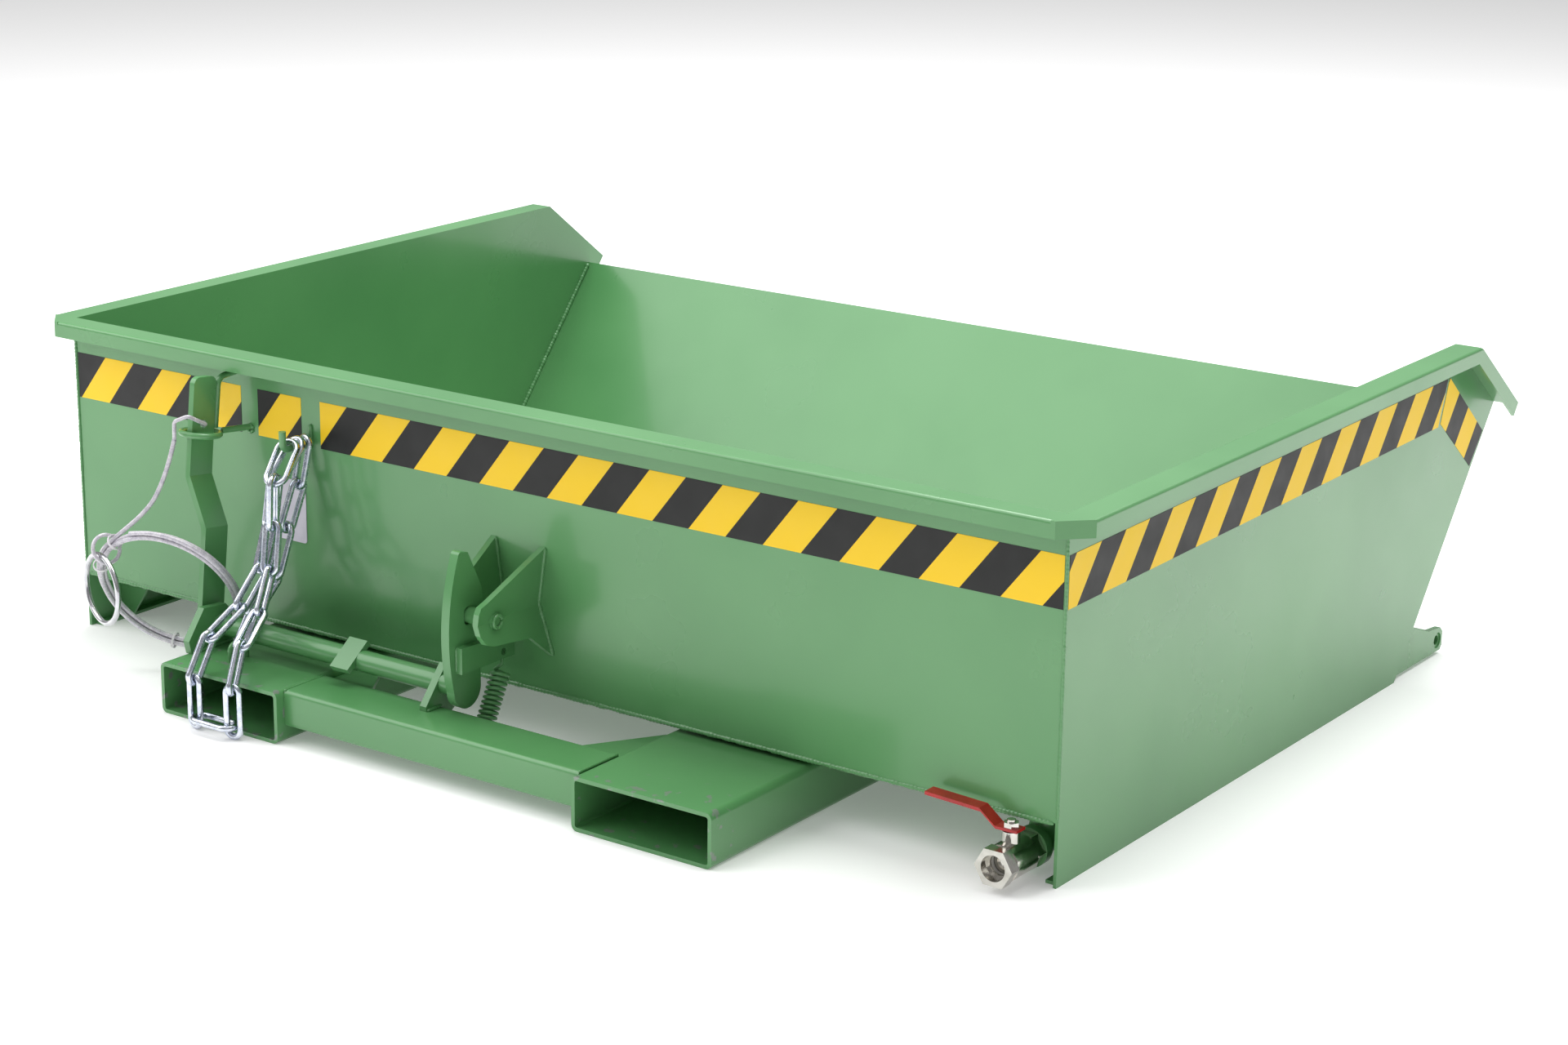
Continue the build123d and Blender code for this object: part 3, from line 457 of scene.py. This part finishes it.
class MeshMaker:
    """Makes meshes for the pieces that the CAD leaves out."""

    @staticmethod
    def tube(
        name: str, points: Sequence[Vector], radius: Callable[[float], float], sides: int = 12,
    ) -> bpy.types.Object:
        """Sweep a round section along points.

        Args:
            name: name of the new object.
            points: centre line, in metres.
            radius: radius at a share of the way from 0 to 1, in metres.
            sides: corners of the section.

        Returns:
            The closed mesh object, linked to the scene.
        """
        mesh = bmesh.new()
        rings: list[list[bmesh.types.BMVert]] = []
        way = (points[1] - points[0]).normalized()
        side = way.orthogonal().normalized()
        for number, point in enumerate(points):
            low, high = max(number - 1, 0), min(number + 1, len(points) - 1)
            way = (points[high] - points[low]).normalized()
            side = (side - way * side.dot(way)).normalized()
            other = way.cross(side)
            size = radius(number / (len(points) - 1))
            ring = []
            for corner in range(sides):
                angle = 2 * math.pi * corner / sides
                ring.append(mesh.verts.new(point + (side * math.cos(angle) + other * math.sin(angle)) * size))
            rings.append(ring)
        for first, second in zip(rings, rings[1:]):
            for corner in range(sides):
                after = (corner + 1) % sides
                mesh.faces.new((first[corner], first[after], second[after], second[corner]))
        mesh.faces.new(list(reversed(rings[0])))
        mesh.faces.new(rings[-1])
        bmesh.ops.recalc_face_normals(mesh, faces=mesh.faces)
        for face in mesh.faces:
            face.smooth = True
        return MeshMaker.finish(name, mesh)

    @staticmethod
    def finish(name: str, mesh: bmesh.types.BMesh) -> bpy.types.Object:
        """Turn a bmesh into an object of the scene.

        Args:
            name: name of the new object.
            mesh: the bmesh, freed here.

        Returns:
            The object.
        """
        data = bpy.data.meshes.new(name)
        mesh.to_mesh(data)
        mesh.free()
        made = bpy.data.objects.new(name, data)
        bpy.context.scene.collection.objects.link(made)
        return made

    @staticmethod
    def weld(name: str, corners: Sequence[Vector], size: float, pitch: float = 5.0) -> bpy.types.Object:
        """Lay a rippled weld bead along a line.

        Args:
            name: name of the new object.
            corners: corners of the line, in metres.
            size: radius of the bead, in mm.
            pitch: distance from ripple to ripple, in mm.

        Returns:
            The bead.
        """
        points: list[Vector] = []
        for start, stop in zip(corners, corners[1:]):
            steps = max(2, int((stop - start).length / (pitch * MM / 4)))
            points += [start.lerp(stop, step / steps) for step in range(steps)]
        points.append(corners[-1])
        total = path_length(points)

        def ripple(share: float) -> float:
            """The bead's radius in metres at a share of its length."""
            where = share * total
            wave = abs(math.sin(math.pi * where / (pitch * MM)))
            drift = noise.noise(Vector((where * 90, size, len(corners))))
            fade = min(1.0, 0.45 + 8 * min(share, 1 - share) * total / (10 * size * MM))
            return size * MM * fade * (0.82 + 0.2 * wave + 0.28 * drift)

        return MeshMaker.tube(name, points, ripple, 8)


@dataclass(frozen=True)
class Bead:
    """One weld bead.

    Attributes:
        body: the CAD body it rides on.
        line: its corners, in mm from the rear wall.
        size: radius in mm.
    """

    body: Body
    line: tuple[tuple[float, float, float], ...]
    size: float = 2.6


def ring_line(x: float, y: float, z: float, radius: float, axis: str = "x", count: int = 20) -> tuple:
    """Corners of a round bead.

    Args:
        x: centre X, in mm.
        y: centre Y, in mm.
        z: centre Z, in mm.
        radius: radius in mm.
        axis: the axis that the ring goes round, "x" or "y".
        count: number of corners.

    Returns:
        The corners, the last one near the first.
    """
    made = []
    for number in range(count + 1):
        angle = 2 * math.pi * number / count * RING_SHARE
        across, up = radius * math.cos(angle), radius * math.sin(angle)
        made.append((x, y + across, z + up) if axis == "x" else (x + across, y, z + up))
    return tuple(made)


BEADS: tuple[Bead, ...] = (
    Bead(Body.TUB, ((-744, 1, 74), (744, 1, 74)), 3.4),
    Bead(Body.TUB, ((-744, 5.5, 80.5), (744, 5.5, 80.5)), 2.6),
    Bead(Body.TUB, ((744.5, 6, 81), (744.5, 871, 81), (744.5, 1066, 318)), 3.2),
    Bead(Body.TUB, ((-744.5, 6, 81), (-744.5, 871, 81), (-744.5, 1066, 318)), 3.2),
    Bead(Body.TUB, ((744.5, 5.5, 82), (744.5, 5.5, 416)), 2.4),
    Bead(Body.TUB, ((-744.5, 5.5, 82), (-744.5, 5.5, 416)), 2.4),
    Bead(Body.TUB, ((749, 0, 78), (749, 0, 398)), 2.2),
    Bead(Body.TUB, ((-749, 0, 78), (-749, 0, 398)), 2.2),
    Bead(Body.TUB, ((42, -1, 254), (31.5, -1, 183), (53, -1, 122)), 2.8),
    Bead(Body.TUB, ((-34, -1, 254), (-23.5, -1, 183), (-45, -1, 122)), 2.8),
    Bead(Body.TUB, ring_line(37, -83, 183, 7.5), 2.6),
    Bead(Body.TUB, ((-332, -1, 345), (-332, -1, 314)), 3.2),
    Bead(Body.TUB, ring_line(-436, -1, 323, 4.5, "y"), 2.4),
    Bead(Body.BASE, ((-421.5, -141, 67), (-421.5, -72, 67)), 2.4),
    Bead(Body.BASE, ((-410.5, -141, 67), (-410.5, -72, 67)), 2.4),
    Bead(Body.BASE, ((-39.5, -124, 67), (-39.5, -97, 67)), 2.6),
    Bead(Body.BASE, ((-50.5, -124, 67), (-50.5, -97, 67)), 2.2),
    Bead(Body.BASE, ((-227, -170, 65.5), (-227, -98, 65.5)), 1.8),
    Bead(Body.BASE, ((227, -170, 65.5), (227, -98, 65.5)), 1.8),
    Bead(Body.LATCH, ring_line(-16, -90, 93, 14.5), 2.2),
    Bead(Body.LATCH, ring_line(-425.5, -90, 93, 14.5), 2.2),
    Bead(Body.LATCH, ((-4, -110.5, 119), (-4, -110.5, 149)), 2.0),
)


@dataclass(frozen=True)
class CoilPlan:
    """Where the rope's coil hangs.

    Attributes:
        centre: its centre, in mm from the rear wall.
        normal: its axis.
        radius: its middle radius, in mm.
        turns: number of turns.
        spread: distance of a strand from the bundle's middle, in mm.
    """

    centre: tuple[float, float, float] = (-490.0, -98.0, 124.0)
    normal: tuple[float, float, float] = (-0.276, 0.85, 0.449)
    radius: float = 94.0
    turns: float = 3.0
    spread: float = 3.9


class Rope:
    """The wire rope from the hand lever to the pull ring."""

    DIAMETER = 6.0

    def __init__(self, plan: CoilPlan) -> None:
        """Prepare the coil's axes.

        Args:
            plan: where the coil hangs.
        """
        self.plan = plan
        self.normal = Vector(plan.normal).normalized()
        self.side = (Vector((1, 0, 0)) - self.normal * self.normal.x).normalized()
        self.up = self.side.cross(self.normal).normalized()

    def turn_point(self, angle: float, slot: float) -> Vector:
        """A point of one strand in the coil.

        Args:
            angle: degrees from +X, counted on over all turns.
            slot: degrees of the strand round the bundle.

        Returns:
            The point in the row frame.
        """
        radial = self.side * math.cos(math.radians(angle)) + self.up * math.sin(math.radians(angle))
        out = self.plan.radius + self.plan.spread * math.cos(math.radians(slot))
        shift = self.plan.spread * math.sin(math.radians(slot))
        place = Vector(self.plan.centre) + radial * out + self.normal * shift
        return row(*place)

    def line(self) -> list[Vector]:
        """The rope's control points from lever to coil end."""
        start_angle = 124.0
        points = [row(-471, -98.5, 323), row(-474, -101.5, 306), row(-483, -109, 270), row(-497, -121, 234)]
        stop_angle = start_angle + 360 * self.plan.turns - 22
        angle = start_angle
        while angle < stop_angle:
            points.append(self.turn_point(angle, (angle - start_angle) / 3))
            angle += 12.0
        return points

    def build(self, material: bpy.types.Material, on_it: Iterable[bpy.types.Object]) -> bpy.types.Object:
        """Make the rope as one smooth curve.

        Args:
            material: the rope's finish.
            on_it: the pieces that hang on the rope; not used.

        Returns:
            The curve object.
        """
        points = self.line()
        curve = bpy.data.curves.new("wire_rope", "CURVE")
        curve.dimensions = "3D"
        curve.bevel_depth = self.DIAMETER / 2 * MM
        curve.bevel_resolution = 4
        curve.resolution_u = 6
        curve.use_fill_caps = True
        spline = curve.splines.new("NURBS")
        spline.points.add(len(points) - 1)
        for knot, point in zip(spline.points, points):
            knot.co = (*point, 1.0)
        spline.order_u = 3
        spline.use_endpoint_u = True
        made = bpy.data.objects.new("wire_rope", curve)
        bpy.context.scene.collection.objects.link(made)
        curve.materials.append(material)
        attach(made, Body.LATCH.value)
        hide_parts("pull_rope", "rope_coil")
        return made


@dataclass(frozen=True)
class View:
    """The reference view, found with a camera fit.

    Attributes:
        place: camera position, in mm from the rear wall.
        yaw: turn to the left of +Y, in degrees.
        pitch: tilt below the level, in degrees.
        roll: turn about the line of sight, in degrees.
        lens: focal length in mm.
        shift: lens shift across and up.
    """

    place: tuple[float, float, float] = (2367.3, -2822.8, 1365.1)
    yaw: float = 35.989
    pitch: float = 16.399
    roll: float = 0.4455
    lens: float = 74.18
    shift: tuple[float, float] = (0.0316, -0.0019)


@dataclass(frozen=True)
class SpringPlan:
    """The latch spring, in mm from the rear wall.

    Attributes:
        foot: lower end of the coils.
        head: upper end of the coils.
        foot_hook: corners of the wire below the coils.
        head_hook: corners of the wire above the coils.
        turns: number of coils.
        radius: middle radius of the coils.
        wire: wire diameter.
        steps: points for each coil.
    """

    foot: tuple[float, float, float] = (9.5, -79.0, 43.0)
    head: tuple[float, float, float] = (9.5, -46.0, 106.0)
    foot_hook: tuple[tuple[float, float, float], ...] = ((9.5, -81.5, 31.0), (9.5, -79.0, 36.5))
    head_hook: tuple[tuple[float, float, float], ...] = (
        (6.0, -40.0, 113.0), (2.0, -34.0, 122.0), (-1.0, -33.0, 128.0),
    )
    turns: int = 12
    radius: float = 10.2
    wire: float = 4.5
    steps: int = 18


class SkipScene:
    """Assembles the whole picture."""

    def __init__(self) -> None:
        """Load the frame."""
        self.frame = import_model()
        self.nodes: dict[str, bpy.types.Object] = self.frame["nodes"]
        self.shop = Workshop()
        self.cad_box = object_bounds()

    def paint_nodes(self) -> None:
        """Give every CAD node the finish of its slot."""
        slots = {entry["node"]: Slot(entry["material_slot"]) for entry in self.frame["record"]["subparts"]}
        for name, node in self.nodes.items():
            slot = slots[name]
            material = self.shop.plain(slot)
            if name == "tape_rear":
                material = self.shop.tape("tape_rear_film", REAR_STRIPES)
            elif slot is Slot.TAPE:
                material = self.shop.tape("tape_side_film", SIDE_STRIPES)
            elif name.startswith("fork_pocket"):
                material = self.shop.worn("worn_paint", row(0, POCKET_MOUTH_Y, 0).y, 0.22)
            node.data.materials.clear()
            node.data.materials.append(material)
            for face in node.data.polygons:
                face.use_smooth = True
            node.data.set_sharp_from_angle(angle=math.radians(30))

    def add_welds(self) -> None:
        """Lay all weld beads."""
        for number, bead in enumerate(BEADS):
            corners = [row(*corner) for corner in bead.line]
            made = MeshMaker.weld(f"weld_bead_{number:02d}", corners, bead.size)
            made.data.materials.append(self.shop.plain(Slot.PAINT))
            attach(made, bead.body.value)
            LOG.info("%s on %s", made.name, bead.body.value)

    def add_spring(self) -> None:
        """Make the latch spring between frame and latch."""
        plan = SpringPlan()
        foot, head = row(*plan.foot), row(*plan.head)
        axis = (head - foot).normalized()
        side = Vector((1, 0, 0))
        other = axis.cross(side)
        points = [row(*corner) for corner in plan.foot_hook]
        steps = plan.turns * plan.steps
        for step in range(steps + 1):
            angle = 2 * math.pi * step / plan.steps + math.pi
            centre = foot.lerp(head, step / steps)
            points.append(centre + (side * math.cos(angle) + other * math.sin(angle)) * (plan.radius * MM))
        points += [row(*corner) for corner in plan.head_hook]
        wire = plan.wire / 2 * MM
        made = MeshMaker.tube("stretching_spring", points, lambda share: wire, 10)
        made.data.materials.append(self.shop.plain(Slot.PAINT))
        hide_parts("latch_spring")
        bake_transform(made)

    def add_rope(self) -> None:
        """Make the rope."""
        on_it = [self.nodes[name] for name in ("rope_ties", "grip_loop", "pull_ring")]
        Rope(CoilPlan()).build(self.shop.plain(Slot.ROPE), on_it)

    def add_stage(self) -> None:
        """Add the floor, the light and the world."""
        bpy.ops.mesh.primitive_plane_add(size=60, location=(0, 0, 0))
        floor = bpy.context.object
        floor.name = "floor"
        maker = MaterialMaker("floor")
        maker.use(Base_Color=(0.93, 0.93, 0.93, 1.0), Roughness=0.9)
        maker.use(Emission_Color=(1.0, 1.0, 1.0, 1.0), Emission_Strength=0.18)
        floor.data.materials.append(maker.material)
        floor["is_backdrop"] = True
        world = bpy.data.worlds.new("studio")
        world.use_nodes = True
        nodes, links = world.node_tree.nodes, world.node_tree.links
        nodes["Background"].inputs[0].default_value = (1.0, 1.0, 1.0, 1.0)
        ray = nodes.new("ShaderNodeLightPath")
        strength = nodes.new("ShaderNodeMath")
        strength.operation = "MULTIPLY_ADD"
        links.new(ray.outputs["Is Camera Ray"], strength.inputs[0])
        strength.inputs[1].default_value = 0.9
        strength.inputs[2].default_value = 0.35
        links.new(strength.outputs[0], nodes["Background"].inputs[1])
        bpy.context.scene.world = world
        self._lamp("key", (2.2, -3.4, 4.2), 3.2, 15.0)
        self._lamp("softbox", (-2.6, -2.0, 3.3), 4.0, 125.0)
        self._lamp("top", (0.0, 1.5, 4.5), 4.5, 380.0)

    @staticmethod
    def _lamp(name: str, place: tuple[float, float, float], size: float, power: float) -> None:
        """Add a soft lamp aimed at the middle of the skip.

        Args:
            name: lamp name.
            place: position in metres.
            size: edge length of the lamp in metres.
            power: power in watts.
        """
        data = bpy.data.lights.new(name, "AREA")
        data.size = size
        data.energy = power
        lamp = bpy.data.objects.new(name, data)
        lamp.location = place
        lamp.rotation_mode = "QUATERNION"
        lamp.rotation_quaternion = (Vector((0, 0, 0.2)) - Vector(place)).to_track_quat("-Z", "Y")
        bpy.context.scene.collection.objects.link(lamp)
        lamp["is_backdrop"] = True

    def add_camera(self) -> None:
        """Place the camera at the reference view."""
        view = View()
        yaw, pitch, roll = math.radians(view.yaw), math.radians(view.pitch), math.radians(view.roll)
        level, rise = math.cos(pitch), -math.sin(pitch)
        forward = Vector((-math.sin(yaw) * level, math.cos(yaw) * level, rise))
        right = Vector((math.cos(yaw), math.sin(yaw), 0))
        up = right.cross(forward)
        across = right * math.cos(roll) + up * math.sin(roll)
        upward = up * math.cos(roll) - right * math.sin(roll)
        data = bpy.data.cameras.new("camera")
        data.lens, data.sensor_width = view.lens, 36.0
        data.shift_x, data.shift_y = view.shift
        camera = bpy.data.objects.new("camera", data)
        turn = Matrix((across, upward, -forward)).transposed().to_4x4()
        camera.matrix_world = Matrix.Translation(row(*view.place)) @ turn
        bpy.context.scene.collection.objects.link(camera)
        bpy.context.scene.camera = camera

    def build(self) -> None:
        self.paint_nodes()
        self.add_welds()
        self.add_spring()
        self.add_rope()
        self.add_stage()
        self.add_camera()
        scene = bpy.context.scene
        scene.view_settings.view_transform = "Standard"
        scene.view_settings.look = "None"
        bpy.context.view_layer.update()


def main() -> None:
    """Build the scene."""
    logging.basicConfig(level=logging.INFO)
    SkipScene().build()


if __name__ == "__main__":
    main()
